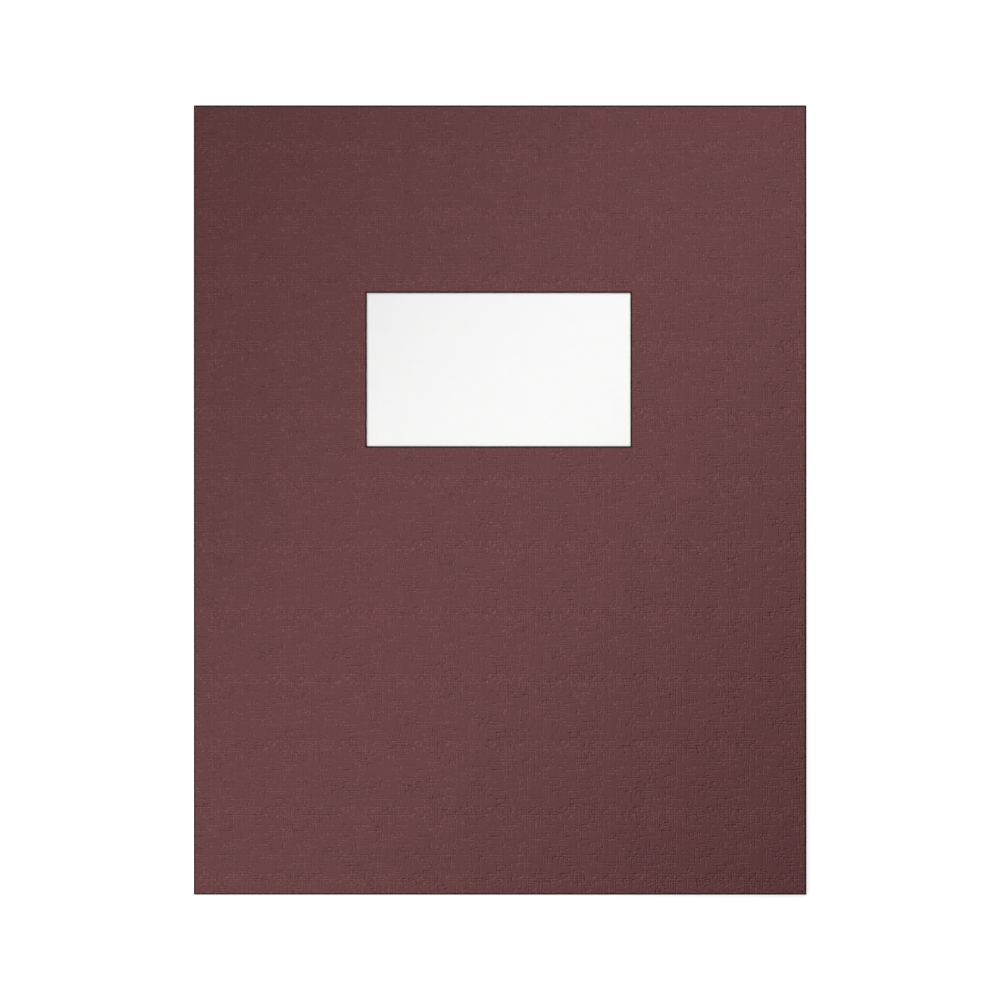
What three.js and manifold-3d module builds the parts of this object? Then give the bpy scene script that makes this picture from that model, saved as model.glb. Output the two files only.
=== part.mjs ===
// A presentation folder with a title window, closed and lying on its back cover.
// It is die-cut from one sheet of linen-embossed cover stock and creased once at the spine. The back cover's flap
// folds up from the bottom edge and is glued down by a tab at the open side, which makes the one pocket inside.
// A letter-size title sheet stands in the pocket and shows white through the window of the front cover.
// The one sheet is parted twice here: along the middle of the spine crease, where the cover turns, and between
// the flap and the back cover, which meet face to face, so that the pocket stays open between two plain plates.
// Millimetres, +Z up. X runs from the spine to the open side, and Y from the bottom edge to the top edge. The
// origin is the middle of the folder's outline, on the face that it lies on.

import * as THREE from "three";
import { mergeVertices } from "three/addons/utils/BufferGeometryUtils.js";
import Module from "manifold-3d";

const wasm = await Module();
wasm.setup();

// Driving dimensions
const stock = 0.32; // cover stock, about 12 point
const sheet = { width: 215.9, height: 279.4, thickness: 0.1 }; // a letter page
const overhang = { spine: 3.05, openSide: 3.05, top: 5.98 }; // how far the covers stand past the page
const titleWindow = { width: 95.5, height: 55.5, fromSpine: 62.75, fromTop: 68 };
const pocket = {
  height: 101.6,
  spineEndAtFold: 4, // from the spine to the flap's slanted end, at the bottom fold
  spineEndAtTop: 13, // and at the flap's top edge
};
const tab = {
  width: 12.7,
  slant: 5, // how much shorter the tab is at its inner edge, at each end
  foot: 4, // the open corner between the bottom fold and the tab's fold
  setback: 0.5, // the tab's fold lies inside the cover's edge
};
const card = { width: 89, height: 51 }; // the visiting card that the slits on the pocket hold
const slit = { length: 17, width: 0.4, inset: 5 };
const clearance = {
  paperUnder: 0.15, // page to tab
  paperOver: 0.2, // page to flap
  paperFoot: 0.3, // page to bottom fold
  coverOverPocket: 0.3, // front cover to flap
  creaseGap: 0.2, // the two halves of the spine crease
};
const glueBite = stock / 2; // glued sheets reach this far into each other, because the glue makes them one
const cutterPast = stock; // how far a cutter runs past what it cuts
const arcSteps = 12; // flat steps in each half circle of a fold

// Levels of the closed folder's layers, from the face that it lies on
const tabTop = 2 * stock;
const sheetBottom = tabTop + clearance.paperUnder;
const flapBottom = sheetBottom + sheet.thickness + clearance.paperOver;
const flapTop = flapBottom + stock;
const frontBottom = flapTop + clearance.coverOverPocket;
const frontTop = frontBottom + stock;

// The closed folder's outline
const coverWidth = overhang.spine + sheet.width + overhang.openSide;
const coverHeight =
  stock + clearance.paperFoot + sheet.height + overhang.top;
const spineX = -coverWidth / 2;
const openX = coverWidth / 2;
const bottomY = -coverHeight / 2;
const topY = coverHeight / 2;

// Fold radii, each to the outside of the sheet, and the lines that their arcs turn about
const spineRadius = frontTop / 2;
const spineCentreX = spineX + spineRadius;
const pocketRadius = flapTop / 2;
const pocketCentreY = bottomY + pocketRadius;
const tabRadius = (flapTop - stock) / 2;
const tabCentreX = openX - tab.setback - tabRadius;

// Where the flap and its two folds end
const flapTopY = bottomY + pocket.height;
const foldFromX = spineX + pocket.spineEndAtFold;
const foldToX = tabCentreX - tab.foot;
const tabFootY = pocketCentreY + tab.foot;

// Where a profile's own axes go: its first, its second and the one it is extruded along
const ALONG_Y = new THREE.Matrix4().makeBasis(
  new THREE.Vector3(1, 0, 0),
  new THREE.Vector3(0, 0, 1),
  new THREE.Vector3(0, -1, 0),
);
const ALONG_X = new THREE.Matrix4().makeBasis(
  new THREE.Vector3(0, 1, 0),
  new THREE.Vector3(0, 0, 1),
  new THREE.Vector3(1, 0, 0),
);
const ALONG_Z = new THREE.Matrix4();

// A shape extruded by a length and set down in the folder's frame, as a solid.
function extruded(shape, length, axes, offset) {
  const geometry = new THREE.ExtrudeGeometry(shape, {
    depth: length,
    bevelEnabled: false,
    curveSegments: arcSteps,
  });
  geometry.applyMatrix4(axes);
  geometry.translate(offset.x ?? 0, offset.y ?? 0, offset.z ?? 0);
  geometry.deleteAttribute("normal");
  geometry.deleteAttribute("uv");
  const merged = mergeVertices(geometry, 1e-4);
  return new wasm.Manifold(
    new wasm.Mesh({
      numProp: 3,
      vertProperties: new Float32Array(merged.attributes.position.array),
      triVerts: new Uint32Array(merged.index.array),
    }),
  );
}

// A flat outline cut as by a steel rule, from one level to another.
function dieCut(points, fromZ, toZ) {
  const outline = new THREE.Shape(points.map(([x, y]) => new THREE.Vector2(x, y)));
  return extruded(outline, toZ - fromZ, ALONG_Z, { z: fromZ });
}

// A solid as a named mesh of the folder.
function meshOf(name, solid, colour, roughness) {
  const { numProp, vertProperties, triVerts } = solid.getMesh();
  const geometry = new THREE.BufferGeometry();
  geometry.setAttribute(
    "position",
    new THREE.BufferAttribute(new Float32Array(vertProperties), numProp),
  );
  geometry.setIndex(new THREE.BufferAttribute(new Uint32Array(triVerts), 1));
  geometry.computeVertexNormals();
  const material = new THREE.MeshStandardMaterial({
    color: colour,
    roughness,
    metalness: 0,
  });
  const mesh = new THREE.Mesh(geometry, material);
  mesh.name = name;
  return mesh;
}

// The crease at the spine is parted along its middle, so that each cover keeps its half of the bend. This is the
// angle, seen from the crease's centre, at which a half stops short of the middle on the radius given.
const shortOf = (radius) => Math.asin(clearance.creaseGap / 2 / radius);

// Section of a cover from the open side to the crease: a flat run at the bottom, then a quarter bend upwards.
// It is drawn for the back cover. The front cover's is the same one, turned over.
function coverSection() {
  const innerRadius = spineRadius - stock;
  const section = new THREE.Shape();
  section.moveTo(openX, 0);
  section.lineTo(openX, stock);
  section.lineTo(spineCentreX, stock);
  section.absarc(
    spineCentreX,
    spineRadius,
    innerRadius,
    -Math.PI / 2,
    -Math.PI + shortOf(innerRadius),
    true,
  );
  section.absarc(
    spineCentreX,
    spineRadius,
    spineRadius,
    -Math.PI + shortOf(spineRadius),
    -Math.PI / 2,
    false,
  );
  section.lineTo(openX, 0);
  return section;
}

function coverBlank() {
  return extruded(coverSection(), coverHeight, ALONG_Y, { y: topY });
}

// Front cover: the plain panel with its half of the crease, and the title window cut through it.
function frontCover() {
  const left = spineX + titleWindow.fromSpine;
  const top = topY - titleWindow.fromTop;
  const cutter = dieCut(
    [
      [left, top - titleWindow.height],
      [left + titleWindow.width, top - titleWindow.height],
      [left + titleWindow.width, top],
      [left, top],
    ],
    frontBottom - cutterPast,
    frontTop + cutterPast,
  );
  const panel = coverBlank().mirror([0, 0, 1]).translate([0, 0, frontTop]);
  return panel.subtract(cutter);
}

// Section of a fold back over half a turn, with its round side towards `side`, which is 1 or -1. It runs on flat
// from its lower and its upper end, each as far as the run given for it.
function foldSection(centre, bottom, radius, side, runs) {
  const innerRadius = radius - stock;
  const middle = bottom + radius;
  const top = middle + radius;
  const clockwise = side < 0;
  const section = new THREE.Shape();
  section.moveTo(centre - side * runs.lower, bottom);
  section.absarc(centre, middle, radius, -Math.PI / 2, Math.PI / 2, clockwise);
  section.lineTo(centre - side * runs.upper, top);
  section.lineTo(centre - side * runs.upper, top - stock);
  section.absarc(centre, middle, innerRadius, Math.PI / 2, -Math.PI / 2, !clockwise);
  section.lineTo(centre - side * runs.lower, bottom + stock);
  return section;
}

// The pocket's fold along the back cover's bottom edge, as far as the flap. Its lower end runs into the cover.
function pocketFold() {
  const section = foldSection(pocketCentreY, 0, pocketRadius, -1, { lower: stock, upper: 0 });
  return extruded(section, foldToX - foldFromX, ALONG_X, { x: foldFromX });
}

// What the die takes off the back cover's bottom edge for the fold to start from its bend line.
function foldRelief() {
  return dieCut(
    [
      [foldFromX, bottomY - cutterPast],
      [foldToX, bottomY - cutterPast],
      [foldToX, pocketCentreY],
      [foldFromX, pocketCentreY],
    ],
    -cutterPast,
    stock + cutterPast,
  );
}

// The glue tab, folded under the flap and glued to the back cover. It tapers towards its inner edge.
function glueTab() {
  return dieCut(
    [
      [tabCentreX - tab.width, tabFootY + tab.slant],
      [tabCentreX, tabFootY],
      [tabCentreX, flapTopY],
      [tabCentreX - tab.width, flapTopY - tab.slant],
    ],
    stock - glueBite,
    tabTop,
  );
}

// Back cover: the panel with its half of the crease, the pocket's bottom fold, and the tab glued to it.
function backCover() {
  return coverBlank().subtract(foldRelief()).add(pocketFold()).add(glueTab());
}

// Four slant slits in the flap, one across each corner of a visiting card.
function cardSlits() {
  const middle = new THREE.Vector2(0, bottomY + pocket.height / 2);
  const cutters = [];
  for (const [sideX, sideY] of [[1, 1], [-1, 1], [-1, -1], [1, -1]]) {
    const centre = new THREE.Vector2(
      sideX * (card.width / 2 - slit.inset),
      sideY * (card.height / 2 - slit.inset),
    ).add(middle);
    const along = new THREE.Vector2(sideX, -sideY).normalize();
    const across = new THREE.Vector2(-along.y, along.x);
    const corner = (a, b) => [
      centre.x + (along.x * a * slit.length) / 2 + (across.x * b * slit.width) / 2,
      centre.y + (along.y * a * slit.length) / 2 + (across.y * b * slit.width) / 2,
    ];
    const outline = [corner(-1, -1), corner(1, -1), corner(1, 1), corner(-1, 1)];
    cutters.push(
      dieCut(outline, flapBottom - cutterPast, flapTop + cutterPast),
    );
  }
  return wasm.Manifold.union(cutters);
}

// Pocket flap: the plate over the page, with the fold that turns under it to the glue tab. Its end at the spine
// is slanted, and its corner at the open side is left open, so that the two folds there don't crush.
function pocketFlap() {
  const plate = dieCut(
    [
      [foldFromX, pocketCentreY],
      [foldToX, pocketCentreY],
      [tabCentreX, tabFootY],
      [tabCentreX, flapTopY],
      [spineX + pocket.spineEndAtTop, flapTopY],
    ],
    flapBottom,
    flapTop,
  );
  const section = foldSection(tabCentreX, stock, tabRadius, 1, { lower: 0, upper: stock });
  const fold = extruded(section, flapTopY - tabFootY, ALONG_Y, { y: flapTopY });
  return plate.add(fold).subtract(cardSlits());
}

// Title sheet: one letter page, down against the pocket's bottom fold.
function titleSheet() {
  const left = spineX + overhang.spine;
  const bottom = bottomY + stock + clearance.paperFoot;
  return dieCut(
    [
      [left, bottom],
      [left + sheet.width, bottom],
      [left + sheet.width, bottom + sheet.height],
      [left, bottom + sheet.height],
    ],
    sheetBottom,
    sheetBottom + sheet.thickness,
  );
}

const folder = new THREE.Group();
folder.add(meshOf("front_cover", frontCover(), 0x6b4446, 0.7));
folder.add(meshOf("back_cover", backCover(), 0x6b4446, 0.7));
folder.add(meshOf("pocket_flap", pocketFlap(), 0x6b4446, 0.7));
folder.add(meshOf("title_sheet", titleSheet(), 0xf7f7f5, 0.85));

export default folder;
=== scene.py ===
import math

import bmesh
import bpy
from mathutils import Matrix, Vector


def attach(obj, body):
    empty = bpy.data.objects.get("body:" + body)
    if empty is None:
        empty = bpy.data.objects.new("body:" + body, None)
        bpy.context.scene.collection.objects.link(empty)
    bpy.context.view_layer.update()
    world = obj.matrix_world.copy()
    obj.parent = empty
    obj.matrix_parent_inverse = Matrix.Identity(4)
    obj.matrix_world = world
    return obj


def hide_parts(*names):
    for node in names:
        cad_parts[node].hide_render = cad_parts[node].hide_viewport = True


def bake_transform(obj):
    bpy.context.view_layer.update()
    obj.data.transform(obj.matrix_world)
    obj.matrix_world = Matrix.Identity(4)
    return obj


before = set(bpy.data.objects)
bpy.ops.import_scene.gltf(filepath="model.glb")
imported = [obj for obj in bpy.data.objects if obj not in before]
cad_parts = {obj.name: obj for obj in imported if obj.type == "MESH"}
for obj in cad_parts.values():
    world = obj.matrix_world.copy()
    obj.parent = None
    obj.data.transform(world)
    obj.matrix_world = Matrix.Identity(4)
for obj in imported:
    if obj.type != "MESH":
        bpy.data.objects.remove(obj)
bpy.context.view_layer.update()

# Front cover
# The front panel and the spine bend, with the title window, die-cut from coloured-through cover stock that a linen
# roll has embossed on both faces. The steel cutting rule presses the emboss flat over the last half millimetre at
# each cut, and the colour there is darkened as painted shade of the cut edge.
mm = 0.001  # sizes are in millimetres here, and the scene is in metres
stock = 0.32
spine_x, open_x, bottom_y, top_y = -111.0, 111.0, -143.0, 143.0
front_top = 2.03
spine_radius = front_top / 2
spine_centre = spine_x + spine_radius
spine_arc = math.pi * spine_radius
panel_width = open_x - spine_centre
side_cut, end_cut, window_cut = 1.0, 0.82, 0.92  # how dark the painted shade along each edge is; 0 is a fold, not a cut
pressed_in = 0.48  # the band of painted edge shade and flattened emboss is full this far in, and gone at pressed_out
pressed_out = 0.66
rounding, rounding_middle = 0.09, 0.026  # where the rounding of a cut edge starts, and how far in its middle lies

card_rim = [
    # in from the edge, below the outer face, weight of the painted edge shade and flattened emboss
    (pressed_out, 0.0, 0.0),
    (pressed_in, 0.0, 1.0),
    (rounding, 0.0, 1.0),
    (rounding_middle, rounding_middle, 1.0),
    (0.0, rounding, 1.0),
    (0.0, stock - rounding, 1.0),
    (rounding_middle, stock - rounding_middle, 1.0),
    (rounding, stock, 1.0),
    (pressed_in, stock, 1.0),
    (pressed_out, stock, 0.0),
]


def moved_in(outline, distance):
    """An outline moved into the card by a distance along its cut edges, and not along its folds."""
    points = [Vector(corner[:2]) for corner in outline]
    moved = []
    for i, point in enumerate(points):
        arriving = (point - points[i - 1]).normalized()
        leaving = (points[(i + 1) % len(points)] - point).normalized()
        a, b = Vector((-arriving.y, arriving.x)), Vector((-leaving.y, leaving.x))
        by_a = distance if outline[i - 1][2] else 0.0
        by_b = distance if outline[i][2] else 0.0
        turn = a.x * b.y - a.y * b.x
        if abs(turn) < 1e-6:
            moved.append(point + a * by_a)
        else:
            moved.append(point + Vector((by_a * b.y - by_b * a.y, by_b * a.x - by_a * b.x)) / turn)
    return moved


def steps(start, end, count):
    """The places that part a length into equal strips."""
    return [start + (end - start) * i / count for i in range(1, count)]


def add_card(into, outlines, rim, across, along, place, on_blank, crease_shade=None):
    """One flat die-cut blank, set down folded. An outline has the card on its left, and gives each corner with how
    dark the painted shade on the edge that leaves it is. The blank is scored at the given lines, so that it can
    bend there, and where a crease is given, painted shade is added there as on a cut edge."""
    card = bmesh.new()
    # Where the emboss is pressed flat, and where painted shade darkens the colour at cut edges and the spine fold.
    pressed_and_shaded = card.verts.layers.float.new("pressed_and_shaded")
    blank = card.verts.layers.float_vector.new("blank")
    open_edges = ([], [])
    for outline in outlines:
        count = len(outline)
        rings = []
        for inset, depth, dark in rim:
            ring = []
            for i, point in enumerate(moved_in(outline, inset)):
                vert = card.verts.new((point.x, point.y, depth))
                vert[pressed_and_shaded] = dark * max(outline[i - 1][2], outline[i][2])
                ring.append(vert)
            rings.append(ring)
        for i in range(count):
            j = (i + 1) % count
            if outline[i][2]:
                for a, b in zip(rings, rings[1:]):
                    card.faces.new((a[i], a[j], b[j], b[i])).smooth = True
            else:
                card.faces.new([ring[j] for ring in rings] + [ring[i] for ring in reversed(rings)])
            for edges, ring in zip(open_edges, (rings[0], rings[-1])):
                edges.append(card.edges.get((ring[i], ring[j])) or card.edges.new((ring[i], ring[j])))
    for edges in open_edges:
        filled = bmesh.ops.triangle_fill(card, use_beauty=True, edges=edges)
        for face in filled["geom"]:
            if isinstance(face, bmesh.types.BMFace):
                face.smooth = True
    for normal, lines in (((1, 0, 0), across), ((0, 1, 0), along)):
        for at in lines:
            geometry = card.verts[:] + card.edges[:] + card.faces[:]
            bmesh.ops.bisect_plane(card, geom=geometry, plane_co=Vector(normal) * at, plane_no=normal, dist=1e-5)
    for face in card.faces:
        if not face.smooth:
            for edge in face.edges:
                edge.smooth = False
    for vert in card.verts:
        x, y, depth = vert.co
        vert[blank] = (*on_blank(x, y), depth)
        # A crease's painted shade is kept together with the painted shade of the cut edges.
        if crease_shade:
            vert[pressed_and_shaded] = max(vert[pressed_and_shaded], crease_shade(x, depth))
        vert.co = Vector(place(x, y, depth)) * mm
    bmesh.ops.recalc_face_normals(card, faces=card.faces)
    loose = bpy.data.meshes.new("blank")
    card.to_mesh(loose)
    card.free()
    into.from_mesh(loose)
    bpy.data.meshes.remove(loose)


def folded_piece(name, blanks, material):
    """One piece of the scene, made of one or more blanks."""
    whole = bmesh.new()
    for blank in blanks:
        add_card(whole, **blank)
    mesh = bpy.data.meshes.new(name)
    whole.to_mesh(mesh)
    whole.free()
    mesh.materials.append(material)
    piece = bpy.data.objects.new(name, mesh)
    bpy.context.scene.collection.objects.link(piece)
    return piece


def put(tree, kind, values=(), **settings):
    """A node, with its settings, and its inputs set to numbers or wired to other nodes' outputs."""
    node = tree.nodes.new("ShaderNode" + kind)
    for name, value in settings.items():
        setattr(node, name, value)
    for socket, value in dict(values).items():
        if isinstance(value, bpy.types.NodeSocket):
            tree.links.new(value, node.inputs[socket])
        else:
            node.inputs[socket].default_value = value
    return node


def maths(tree, operation, *values):
    """One step of arithmetic on numbers or sockets."""
    return put(tree, "Math", enumerate(values), operation=operation).outputs[0]


def ease(tree, value, start, end, low=0.0, high=1.0):
    """A smooth change from low to high as the value goes from start to end."""
    wired = {"Value": value, "From Min": start, "From Max": end, "To Min": low, "To Max": high}
    return put(tree, "MapRange", wired, interpolation_type="SMOOTHSTEP").outputs["Result"]


def new_group(name, inputs, outputs):
    group = bpy.data.node_groups.new(name, "ShaderNodeTree")
    for kind, sockets in (("INPUT", inputs), ("OUTPUT", outputs)):
        for label, socket in sockets:
            group.interface.new_socket(label, in_out=kind, socket_type="NodeSocket" + socket)
    return group, group.nodes.new("NodeGroupInput").outputs, group.nodes.new("NodeGroupOutput").inputs


# One set of raised threads that all run the same way: rows a pitch apart, broken into lengths. Rows and lengths
# are numbered round the roll, so the pattern comes back at each turn of it.
slow_bend, slow_reach = 0.7, 0.06  # how a row bends: radians a millimetre, and its reach in parts of the pitch
quick_bend, quick_reach = 1.9, 0.04
quiet_row, busy_row = 0.3, 1.75  # the least and most that a row takes of its set's share
most_cut_off = 0.3  # of a length, at either end
taper_length = 0.25
least_width, more_width = 0.75, 0.5
least_lift, more_lift = 0.4, 0.6
threads, given, out = new_group(
    "raised_threads",
    [
        ("Across", "Float"),
        ("Along", "Float"),
        ("Pitch", "Float"),
        ("Rows", "Float"),
        ("Length", "Float"),
        ("Lengths", "Float"),
        ("Share", "Float"),
        ("Width", "Float"),
        ("Set", "Float"),
    ],
    [("Height", "Float")],
)
slow = maths(threads, "SINE", maths(threads, "MULTIPLY", given["Along"], slow_bend))
quick = maths(threads, "SINE", maths(threads, "MULTIPLY_ADD", given["Along"], quick_bend, given["Set"]))
slow = maths(threads, "MULTIPLY", slow, slow_reach)
wander = maths(threads, "MULTIPLY_ADD", quick, quick_reach, slow)
rows = maths(threads, "ADD", maths(threads, "DIVIDE", given["Across"], given["Pitch"]), wander)
row = maths(threads, "FLOORED_MODULO", maths(threads, "FLOOR", rows), given["Rows"])
off_middle = maths(threads, "ABSOLUTE", maths(threads, "SUBTRACT", maths(threads, "FRACT", rows), 0.5))
no_set = 7.0  # keeps a row's own chance apart from the chances of its lengths
row_place = put(threads, "CombineXYZ", {"X": row, "Y": given["Set"], "Z": no_set})
row_chance = put(threads, "TexWhiteNoise", {"Vector": row_place.outputs[0]}).outputs
shift = row_chance["Value"]
row_chances = put(threads, "SeparateColor", {"Color": row_chance["Color"]}).outputs
busy = ease(threads, row_chances["Red"], 0.3, 0.75, quiet_row, busy_row)
row_share = maths(threads, "MULTIPLY", given["Share"], busy)
lengths = maths(threads, "ADD", maths(threads, "DIVIDE", given["Along"], given["Length"]), shift)
part = maths(threads, "FLOORED_MODULO", maths(threads, "FLOOR", lengths), given["Lengths"])
through = maths(threads, "FRACT", lengths)
part_place = put(threads, "CombineXYZ", {"X": row, "Y": part, "Z": given["Set"]})
chance = put(threads, "TexWhiteNoise", {"Vector": part_place.outputs[0]})
chances = put(threads, "SeparateColor", {"Color": chance.outputs["Color"]}).outputs
there = maths(threads, "LESS_THAN", chance.outputs["Value"], row_share)
starts = maths(threads, "MULTIPLY", chances["Red"], most_cut_off)
ends = maths(threads, "SUBTRACT", 1.0, maths(threads, "MULTIPLY", chances["Green"], most_cut_off))
taper = maths(threads, "DIVIDE", taper_length, given["Length"])
begun = ease(threads, through, starts, maths(threads, "ADD", starts, taper))
not_over = ease(threads, through, maths(threads, "SUBTRACT", ends, taper), ends, 1.0, 0.0)
width = maths(threads, "MULTIPLY_ADD", chances["Blue"], more_width, least_width)
width = maths(threads, "MULTIPLY", given["Width"], width)
ridge = ease(threads, off_middle, maths(threads, "MULTIPLY", width, 0.15), width, 1.0, 0.0)
lift = maths(threads, "MULTIPLY_ADD", chances["Blue"], more_lift, least_lift)
height = maths(threads, "MULTIPLY", maths(threads, "MULTIPLY", ridge, lift), there)
height = maths(threads, "MULTIPLY", height, maths(threads, "MULTIPLY", begun, not_over))
threads.links.new(height, out["Height"])

# The linen emboss: long and short threads both ways, with slubs where they thicken, and calmer places between.
linen, given, out = new_group(
    "linen_emboss",
    [("Blank", "Vector"), ("Roll Width", "Float"), ("Roll Turn", "Float")],
    [("Height", "Float"), ("Hollow", "Float")],
)
on_blank = put(linen, "SeparateXYZ", {"Vector": given["Blank"]}).outputs


def thread_set(number, runs_across, rows, parts, share, width):
    """Threads of one kind: the set's number, whether they run across the blank, how many rows and lengths a repeat
    has, the share of lengths that are there, and half a thread's width in parts of the pitch."""
    across, along = ("Y", "X") if runs_across else ("X", "Y")
    sizes = {"X": given["Roll Width"], "Y": given["Roll Turn"]}
    values = {
        "Across": on_blank[across],
        "Along": on_blank[along],
        "Pitch": maths(linen, "DIVIDE", sizes[across], float(rows)),
        "Rows": float(rows),
        "Length": maths(linen, "DIVIDE", sizes[along], float(parts)),
        "Lengths": float(parts),
        "Share": share,
        "Width": width,
        "Set": float(number),
    }
    return put(linen, "Group", values, node_tree=threads).outputs["Height"]


long_threads = maths(
    linen,
    "MAXIMUM",
    thread_set(1, runs_across=True, rows=25, parts=3, share=0.5, width=0.27),
    thread_set(2, runs_across=False, rows=28, parts=3, share=0.48, width=0.25),
)
short_threads = maths(
    linen,
    "MAXIMUM",
    thread_set(3, runs_across=True, rows=31, parts=9, share=0.2, width=0.36),
    thread_set(4, runs_across=False, rows=33, parts=8, share=0.26, width=0.36),
)
slubs = maths(
    linen,
    "MAXIMUM",
    thread_set(5, runs_across=True, rows=23, parts=17, share=0.1, width=0.36),
    thread_set(6, runs_across=False, rows=25, parts=16, share=0.1, width=0.36),
)
lumps = put(linen, "TexNoise", {"Vector": given["Blank"], "Scale": 1.1, "Detail": 1.0, "Roughness": 0.5})
lumpy = ease(linen, lumps.outputs["Fac"], 0.36, 0.6, 0.62, 1.15)
calm = put(linen, "TexNoise", {"Vector": given["Blank"], "Scale": 0.12, "Detail": 2.0, "Roughness": 0.6})
lively = ease(linen, calm.outputs["Fac"], 0.4, 0.56, 0.42, 1.12)
short_height, slub_height = 0.8, 1.2  # beside a long thread
height = maths(linen, "MAXIMUM", long_threads, maths(linen, "MULTIPLY", short_threads, short_height))
height = maths(linen, "MULTIPLY_ADD", slubs, slub_height, maths(linen, "MULTIPLY", height, lumpy))
height = maths(linen, "MULTIPLY", height, lively)
linen.links.new(height, out["Height"])
linen.links.new(ease(linen, height, 0.04, 0.55, 1.0, 0.0), out["Hollow"])

# Paper fibre: the fine grain of the pulp, and the cloudy way that it settles on the wire of the paper machine.
fibre, given, out = new_group(
    "paper_fibre", [("Blank", "Vector"), ("Fineness", "Float")], [("Grain", "Float"), ("Cloud", "Float")]
)
drawn = put(fibre, "Mapping", {"Vector": given["Blank"], "Scale": (1.0, 0.45, 1.0)})
grain = put(
    fibre,
    "TexNoise",
    {"Vector": drawn.outputs[0], "Scale": given["Fineness"], "Detail": 4.0, "Roughness": 0.65, "Distortion": 0.6},
)
cloud = put(fibre, "TexNoise", {"Vector": given["Blank"], "Scale": 0.2, "Detail": 3.0, "Roughness": 0.55})
fibre.links.new(grain.outputs["Fac"], out["Grain"])
fibre.links.new(cloud.outputs["Fac"], out["Cloud"])

dye_warm, dye_cool = (0.1574, 0.0629, 0.0656, 1), (0.1564, 0.0626, 0.0667, 1)
painted_top_light, painted_hollow_dimming = 1.505, 0.53  # painted light: a thread's top is paler than the dye, and the flat hollows are darker by this, in place of light and shade on the relief
painted_edge_shade = 0.84  # painted shade: how much of the colour goes along cut edges and where the spine turns side-on
roll_width, roll_turn = 26.6, 24.1  # the repeat of the embossing roll
relief_depth, grain_part = 0.35, 0.04

card_stock = bpy.data.materials.new("burgundy_linen_card")
card_stock.use_nodes = True
tree = card_stock.node_tree
shader = tree.nodes["Principled BSDF"]
blank = put(tree, "Attribute", attribute_name="blank").outputs["Vector"]
# Where the emboss is pressed flat, and where painted shade darkens the cut edges and the spine fold.
pressed_and_shaded = put(tree, "Attribute", attribute_name="pressed_and_shaded").outputs["Fac"]
repeat = {"Blank": blank, "Roll Width": roll_width, "Roll Turn": roll_turn}
emboss = put(tree, "Group", repeat, node_tree=linen).outputs
pulp = put(tree, "Group", {"Blank": blank, "Fineness": 3.2}, node_tree=fibre).outputs
uncut = ease(tree, pressed_and_shaded, 0.1, 0.7, 1.0, 0.15)
height = maths(tree, "MULTIPLY", emboss["Height"], uncut)
tone = ease(tree, pulp["Cloud"], 0.36, 0.64)
dye = put(tree, "Mix", {"Factor": tone, "A": dye_warm, "B": dye_cool}, data_type="RGBA")
# Painted highlight on the thread tops and painted shade in the hollows between them.
painted_relief_light = maths(tree, "MULTIPLY_ADD", emboss["Hollow"], -painted_hollow_dimming, painted_top_light)
fleck = ease(tree, pulp["Grain"], 0.3, 0.7, 0.97, 1.03)
# Painted shade: the colour is darkened along the cut edges and where the spine turns side-on.
dark = maths(tree, "MULTIPLY_ADD", pressed_and_shaded, -painted_edge_shade, 1.0)
shade = maths(tree, "MULTIPLY", maths(tree, "MULTIPLY", painted_relief_light, fleck), dark)
colour = put(tree, "VectorMath", {0: dye.outputs["Result"], "Scale": shade}, operation="SCALE")
tree.links.new(colour.outputs[0], shader.inputs["Base Color"])
tree.links.new(ease(tree, height, 0.0, 0.9, 0.8, 0.66), shader.inputs["Roughness"])
relief = maths(tree, "MULTIPLY_ADD", pulp["Grain"], grain_part, height)
bump = put(tree, "Bump", {"Height": relief, "Strength": 1.0, "Distance": relief_depth * mm})
tree.links.new(bump.outputs[0], shader.inputs["Normal"])
shader.inputs["Specular IOR Level"].default_value = 0.0

window_width, window_height = 95.5, 55.5
window_left, window_top = spine_x + 62.75, top_y - 68.0
window_right, window_bottom = window_left + window_width, window_top - window_height
gape = 0.25  # a new folder stands open by this much along its open side
crease_shade_darkest, crease_shade_from, crease_shade_over = 0.85, 0.25, 0.4  # painted shade: the spine is darkened where its face turns to the side


def front_place(x, y, depth):
    if x < 0:
        turn = -x / spine_arc * math.pi
        radius = spine_radius - depth
        return spine_centre - radius * math.sin(turn), y, spine_radius + radius * math.cos(turn)
    return spine_centre + x, y, front_top - depth + gape * (x / panel_width) ** 2


# Painted shade on the outer face of the spine fold, growing as it turns side-on.
def painted_crease_shade(x, depth):
    side_on = math.sin(min(1.0, max(0.0, -x / spine_arc)) * math.pi)
    return crease_shade_darkest * min(1.0, max(0.0, (side_on - crease_shade_from) / crease_shade_over)) if depth < stock / 2 else 0.0


front_outline = [
    (-spine_arc, bottom_y, end_cut),
    (panel_width, bottom_y, side_cut),
    (panel_width, top_y, end_cut),
    (-spine_arc, top_y, 0),
]
window_outline = [
    (window_left - spine_centre, window_bottom, window_cut),
    (window_left - spine_centre, window_top, window_cut),
    (window_right - spine_centre, window_top, window_cut),
    (window_right - spine_centre, window_bottom, window_cut),
]
front_card = folded_piece(
    "front_cover_card",
    [
        {
            "outlines": [front_outline, window_outline],
            "rim": card_rim,
            "across": steps(-spine_arc, 0.0, 20) + [0.0] + steps(0.0, panel_width, 24),
            "along": steps(bottom_y, top_y, 28),
            "place": front_place,
            "on_blank": lambda x, y: (x + spine_arc, y),
            "crease_shade": painted_crease_shade,
        }
    ],
    card_stock,
)
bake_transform(front_card)
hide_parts("front_cover")

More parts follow.
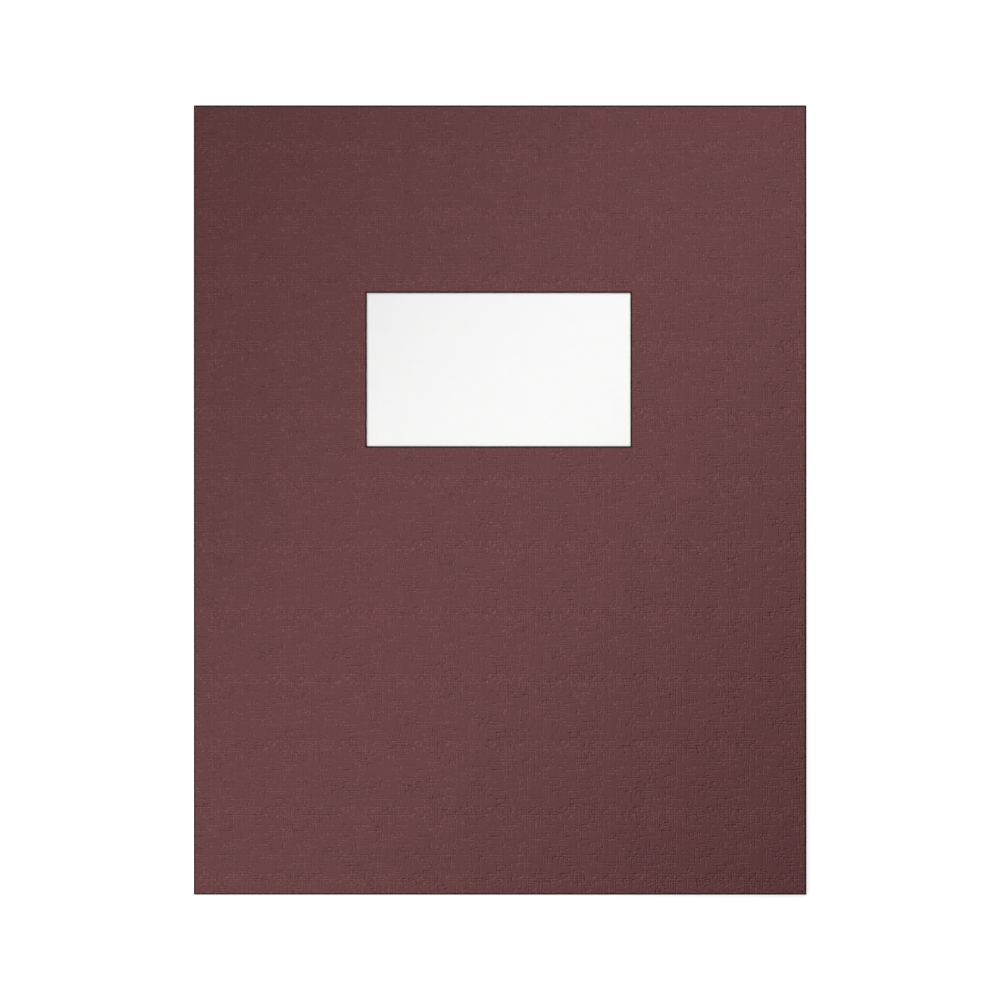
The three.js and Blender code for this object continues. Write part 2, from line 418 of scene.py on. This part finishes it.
# Back cover
# The back panel, the rounded fold along its bottom edge that the pocket turns up from, and the pocket's glue tab,
# stuck down inside along the open side. It is the same sheet of linen card as the front cover.
pocket_radius = 0.705
pocket_centre = bottom_y + pocket_radius
pocket_arc = math.pi * pocket_radius
pocket_height = 101.6
pocket_top = bottom_y + pocket_height
relief_notch = 4.0  # the card cut away beside a fold, so that it turns freely
tab_fold, tab_foot = open_x - 1.045, pocket_centre + relief_notch
fold_from, fold_to = spine_x + relief_notch, tab_fold - relief_notch
tab_width, tab_slant = 12.7, 5.0
tab_radius = 0.545
tab_arc = math.pi * tab_radius


def pocket_fold_place(x, y, depth):
    turn = (pocket_centre - y) / pocket_arc * math.pi
    radius = pocket_radius - depth
    return x, pocket_centre - radius * math.sin(turn), pocket_radius - radius * math.cos(turn)


def on_back(x, y):
    return spine_centre - x, y


def on_flap(x, y):
    return spine_centre - x, pocket_centre - pocket_arc - (y - pocket_centre)


back_outline = [
    (spine_centre, bottom_y, end_cut),
    (fold_from, bottom_y, end_cut),
    (fold_from, pocket_centre, 0),
    (fold_to, pocket_centre, end_cut),
    (fold_to, bottom_y, end_cut),
    (open_x, bottom_y, side_cut),
    (open_x, top_y, end_cut),
    (spine_centre, top_y, 0),
]
fold_outline = [
    (fold_from, pocket_centre - pocket_arc, 0),
    (fold_to, pocket_centre - pocket_arc, side_cut),
    (fold_to, pocket_centre, 0),
    (fold_from, pocket_centre, side_cut),
]
tab_outline = [
    (tab_fold - tab_width, tab_foot + tab_slant, end_cut),
    (tab_fold, tab_foot, 0),
    (tab_fold, pocket_top, end_cut),
    (tab_fold - tab_width, pocket_top - tab_slant, end_cut),
]
back_card = folded_piece(
    "back_cover_card",
    [
        {
            "outlines": [back_outline],
            "rim": card_rim,
            "across": [],
            "along": [],
            "place": lambda x, y, depth: (x, y, depth),
            "on_blank": on_back,
        },
        {
            "outlines": [fold_outline],
            "rim": card_rim,
            "across": [],
            "along": steps(pocket_centre - pocket_arc, pocket_centre, 16),
            "place": pocket_fold_place,
            "on_blank": on_back,
        },
        {
            "outlines": [tab_outline],
            "rim": card_rim,
            "across": [],
            "along": [],
            "place": lambda x, y, depth: (x, y, stock + depth),
            "on_blank": lambda x, y: on_flap(2 * tab_fold + tab_arc - x, y),
        },
    ],
    card_stock,
)
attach(back_card, "back")
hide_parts("back_cover")

# Pocket flap
# The flap that turns up from the bottom edge over the foot of the page, with the fold that turns under it at the
# open side to the glue tab. Four slant slits in it hold the corners of a visiting card.
flap_top = 2 * pocket_radius
slant_top = spine_x + 13.0  # where the slanted end beside the spine meets the pocket's mouth
card_width, card_height, slit_inset = 89.0, 51.0, 5.0  # of the visiting card
slit_length, slit_width = 17.0, 0.4
end_points = 5  # of a slit's round end


def flap_place(x, y, depth):
    if x <= tab_fold:
        return x, y, flap_top - depth
    turn = (x - tab_fold) / tab_arc * math.pi
    radius = tab_radius - depth
    return tab_fold + radius * math.sin(turn), y, flap_top - tab_radius + radius * math.cos(turn)


def slit_outline(side_x, side_y):
    middle = Vector((side_x * (card_width / 2 - slit_inset), side_y * (card_height / 2 - slit_inset)))
    middle.y += bottom_y + pocket_height / 2
    along = Vector((side_x, -side_y)).normalized()
    across = Vector((-along.y, along.x))
    half = slit_width / 2
    corners = []
    for end in (1, -1):
        for turn in range(end_points):
            angle = math.radians(90 - 180 * turn / (end_points - 1))
            reach = slit_length / 2 - half + half * math.cos(angle)
            point = middle + along * reach * end + across * half * math.sin(angle) * end
            corners.append((point.x, point.y, window_cut))
    return corners


flap_outline = [
    (fold_from, pocket_centre, 0),
    (fold_to, pocket_centre, side_cut),
    (tab_fold, tab_foot, end_cut),
    (tab_fold + tab_arc, tab_foot, 0),
    (tab_fold + tab_arc, pocket_top, end_cut),
    (slant_top, pocket_top, side_cut),
]
flap_card = folded_piece(
    "pocket_flap_card",
    [
        {
            "outlines": [flap_outline] + [slit_outline(x, y) for x in (1, -1) for y in (1, -1)],
            "rim": card_rim,
            "across": [tab_fold] + steps(tab_fold, tab_fold + tab_arc, 14),
            "along": [],
            "place": flap_place,
            "on_blank": on_flap,
        }
    ],
    card_stock,
)
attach(flap_card, "back")
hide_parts("pocket_flap")

# Title sheet
# One letter page of white uncoated paper, loose in the pocket. It is held flat at its foot, and bows up a little
# above the pocket until it nearly touches the front cover, where the window shows it.
sheet_width, sheet_height, sheet_thickness = 215.9, 279.4, 0.1
sheet_left, sheet_foot = spine_x + 3.05, bottom_y + stock + 0.3
sheet_bottom = 0.79
bow = 0.75
bow_from, bow_to = pocket_top + 6, 12.0
ripple_height = 0.03
head_drop, drop_from, drop_to = 0.25, 85.0, 140.0  # the head of the page sinks back a little
page_rounding, page_band = 0.03, 0.5
page_rim = [
    (page_band, 0.0, 0.0),
    (page_rounding, 0.0, 1.0),
    (0.0, page_rounding, 1.0),
    (0.0, sheet_thickness - page_rounding, 1.0),
    (page_rounding, sheet_thickness, 1.0),
    (page_band, sheet_thickness, 0.0),
]


def eased(value, start, end):
    share = min(1.0, max(0.0, (value - start) / (end - start)))
    return share * share * (3 - 2 * share)


def page_place(x, y, depth):
    under_cover = bow + gape * ((x - spine_centre) / panel_width) ** 2
    ripple = ripple_height * math.sin(x / 23.0 + y / 31.0)
    lift = (under_cover + ripple) * eased(y, bow_from, bow_to) - head_drop * eased(y, drop_from, drop_to)
    return x, y, sheet_bottom + sheet_thickness - depth + lift


page_outline = [
    (sheet_left, sheet_foot, 1.0),
    (sheet_left + sheet_width, sheet_foot, 1.0),
    (sheet_left + sheet_width, sheet_foot + sheet_height, 1.0),
    (sheet_left, sheet_foot + sheet_height, 1.0),
]

page_white = (0.955, 0.955, 0.95)
page_tooth = 0.006
page_stock = bpy.data.materials.new("white_page")
page_stock.use_nodes = True
tree = page_stock.node_tree
shader = tree.nodes["Principled BSDF"]
blank = put(tree, "Attribute", attribute_name="blank").outputs["Vector"]
pulp = put(tree, "Group", {"Blank": blank, "Fineness": 5.0}, node_tree=fibre).outputs
fine = ease(tree, pulp["Grain"], 0.3, 0.7, 0.99, 1.01)
level = maths(tree, "ADD", fine, ease(tree, pulp["Cloud"], 0.3, 0.7, -0.006, 0.006))
colour = put(tree, "VectorMath", {0: page_white, "Scale": level}, operation="SCALE")
tree.links.new(colour.outputs[0], shader.inputs["Base Color"])
tree.links.new(ease(tree, pulp["Grain"], 0.3, 0.7, 0.82, 0.92), shader.inputs["Roughness"])
bump = put(tree, "Bump", {"Height": pulp["Grain"], "Strength": 1.0, "Distance": page_tooth * mm})
tree.links.new(bump.outputs[0], shader.inputs["Normal"])
shader.inputs["Specular IOR Level"].default_value = 0.2

page = folded_piece(
    "title_page",
    [
        {
            "outlines": [page_outline],
            "rim": page_rim,
            "across": steps(sheet_left, sheet_left + sheet_width, 18),
            "along": steps(sheet_foot, sheet_foot + sheet_height, 40),
            "place": page_place,
            "on_blank": lambda x, y: (x, y),
        }
    ],
    page_stock,
)
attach(page, "back")
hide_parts("title_sheet")

# Table, light and camera
# A plain white table under the folder, a wide soft lamp low at the top left that picks out the emboss, and a long
# soft lamp above the diagonal from the bottom left to the top right. The camera looks straight down.
table_mesh = bpy.data.meshes.new("table")
reach = 4  # metres from the middle to each side
corners = [(-reach, -reach, 0), (reach, -reach, 0), (reach, reach, 0), (-reach, reach, 0)]
table_mesh.from_pydata(corners, [], [(0, 1, 2, 3)])
table = bpy.data.objects.new("table", table_mesh)
table.location.z = -0.1 * mm
bpy.context.scene.collection.objects.link(table)


def seen_rays(tree):
    """1 where the camera looks, straight or by way of gloss, and 0 for light that falls on the folder."""
    rays = tree.nodes.new("ShaderNodeLightPath").outputs
    by_way = maths(tree, "MAXIMUM", rays["Is Glossy Ray"], rays["Is Transmission Ray"])
    return maths(tree, "MAXIMUM", rays["Is Camera Ray"], by_way)


table_glow = 0.72
world_light, world_seen = 0.18, 1.0
white = bpy.data.materials.new("white_table")
white.use_nodes = True
tree = white.node_tree
shader = tree.nodes["Principled BSDF"]
shader.inputs["Base Color"].default_value = (0.9, 0.9, 0.9, 1)
shader.inputs["Roughness"].default_value = 0.9
shader.inputs["Specular IOR Level"].default_value = 0.1
shader.inputs["Emission Color"].default_value = (1, 1, 1, 1)
tree.links.new(maths(tree, "MULTIPLY", seen_rays(tree), table_glow), shader.inputs["Emission Strength"])
table_mesh.materials.append(white)

world = bpy.data.worlds.new("studio")
bpy.context.scene.world = world
world.use_nodes = True
tree = world.node_tree
background = tree.nodes["Background"]
background.inputs["Color"].default_value = (1, 1, 1, 1)
strength = ease(tree, seen_rays(tree), 0.0, 1.0, world_light, world_seen)
tree.links.new(strength, background.inputs["Strength"])


def lamp(name, place, size, power, turned=0.0):
    """A soft lamp that shines at the middle of the table, or straight down if it is turned."""
    light = bpy.data.lights.new(name, "AREA")
    light.shape = "RECTANGLE"
    light.size, light.size_y = size
    light.energy = power
    made = bpy.data.objects.new(name, light)
    made.location = place
    made.rotation_euler = (-Vector(place)).to_track_quat("-Z", "Y").to_euler()
    if turned:
        made.rotation_euler = (0, 0, turned)
    made.visible_camera = False
    bpy.context.scene.collection.objects.link(made)


diagonal = math.atan2(top_y - bottom_y, open_x - spine_x)
lamp("low_lamp", place=(-2.5, 2.5, 1.95), size=(1.8, 1.8), power=80)
lamp("long_lamp", place=(0, 0, 0.2), size=(0.8, 0.1), power=0.62, turned=diagonal)

picture_width = 0.36228  # metres across the picture at the front cover
sensor, lens = 36, 200
camera_data = bpy.data.cameras.new("camera")
camera_data.sensor_width = sensor
camera_data.lens = lens
camera = bpy.data.objects.new("camera", camera_data)
camera.location = (0, 0, picture_width * lens / sensor + front_top * mm)
bpy.context.scene.collection.objects.link(camera)
bpy.context.scene.camera = camera
bpy.context.scene.view_settings.view_transform = "Standard"
